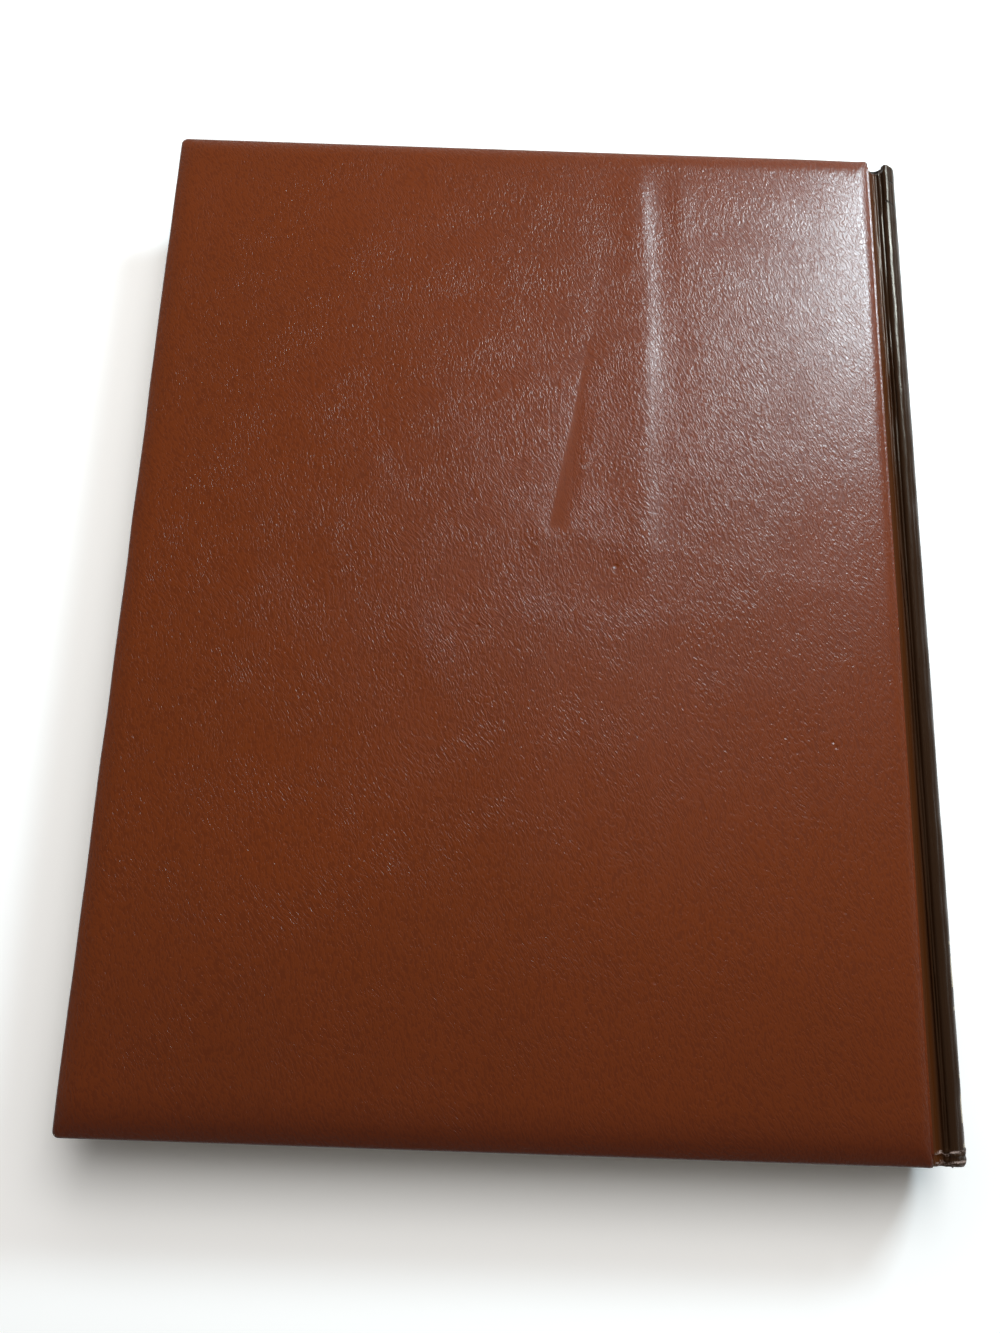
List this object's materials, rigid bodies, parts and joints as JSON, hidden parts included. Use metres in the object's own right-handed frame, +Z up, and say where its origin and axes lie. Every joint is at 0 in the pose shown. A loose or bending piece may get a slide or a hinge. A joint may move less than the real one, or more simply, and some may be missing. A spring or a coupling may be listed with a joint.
{
  "type": "hardback book",
  "caption": "Large closed hardback book with padded covers, a rounded hollow spine and covers that open.",
  "frame": {"origin": "centre of the closed book's footprint, on the surface that it lies on", "axes": "+X from the fore edge to the spine, +Y from the tail to the head, +Z up through the closed book"},
  "size_m": [0.2257, 0.2864, 0.0298],
  "materials": {
    "padded_leatherette": "semi-gloss embossed grain",
    "spine_leatherette": "glossy, creased",
    "page_paper": "matt, trimmed edges",
    "endpaper": "matt",
    "grey_board": "matt",
    "spine_card": "matt",
    "foam": "open-cell foam",
    "gauze": "sized gauze",
    "kraft": "matt",
    "headband_cloth": "woven"
  },
  "bodies": {
    "text_block": {"text_block": "page_paper", "back_flyleaf": "endpaper", "front_flyleaf": "endpaper", "head_band": "headband_cloth", "tail_band": "headband_cloth", "mull": "gauze", "spine_lining": "kraft", "spine_inlay": "spine_card", "spine_cover": "spine_leatherette"},
    "back_cover": {"back_board": "grey_board", "back_spine_lap": "spine_leatherette", "back_padding": "foam", "back_leatherette": "padded_leatherette", "back_pastedown": "endpaper"},
    "front_cover": {"front_board": "grey_board", "front_spine_lap": "spine_leatherette", "front_padding": "foam", "front_leatherette": "padded_leatherette", "front_pastedown": "endpaper"}
  },
  "joints": [
    {"name": "back_cover_hinge", "type": "hinge", "parent": "text_block", "child": "back_cover", "pos_m": [0.10655, 0, 0.026], "axis": [0, 1, 0], "range_deg": [0, 180]},
    {"name": "front_cover_hinge", "type": "hinge", "parent": "text_block", "child": "front_cover", "pos_m": [0.10655, 0, 0.0038], "axis": [0, -1, 0], "range_deg": [0, 180]}
  ]
}
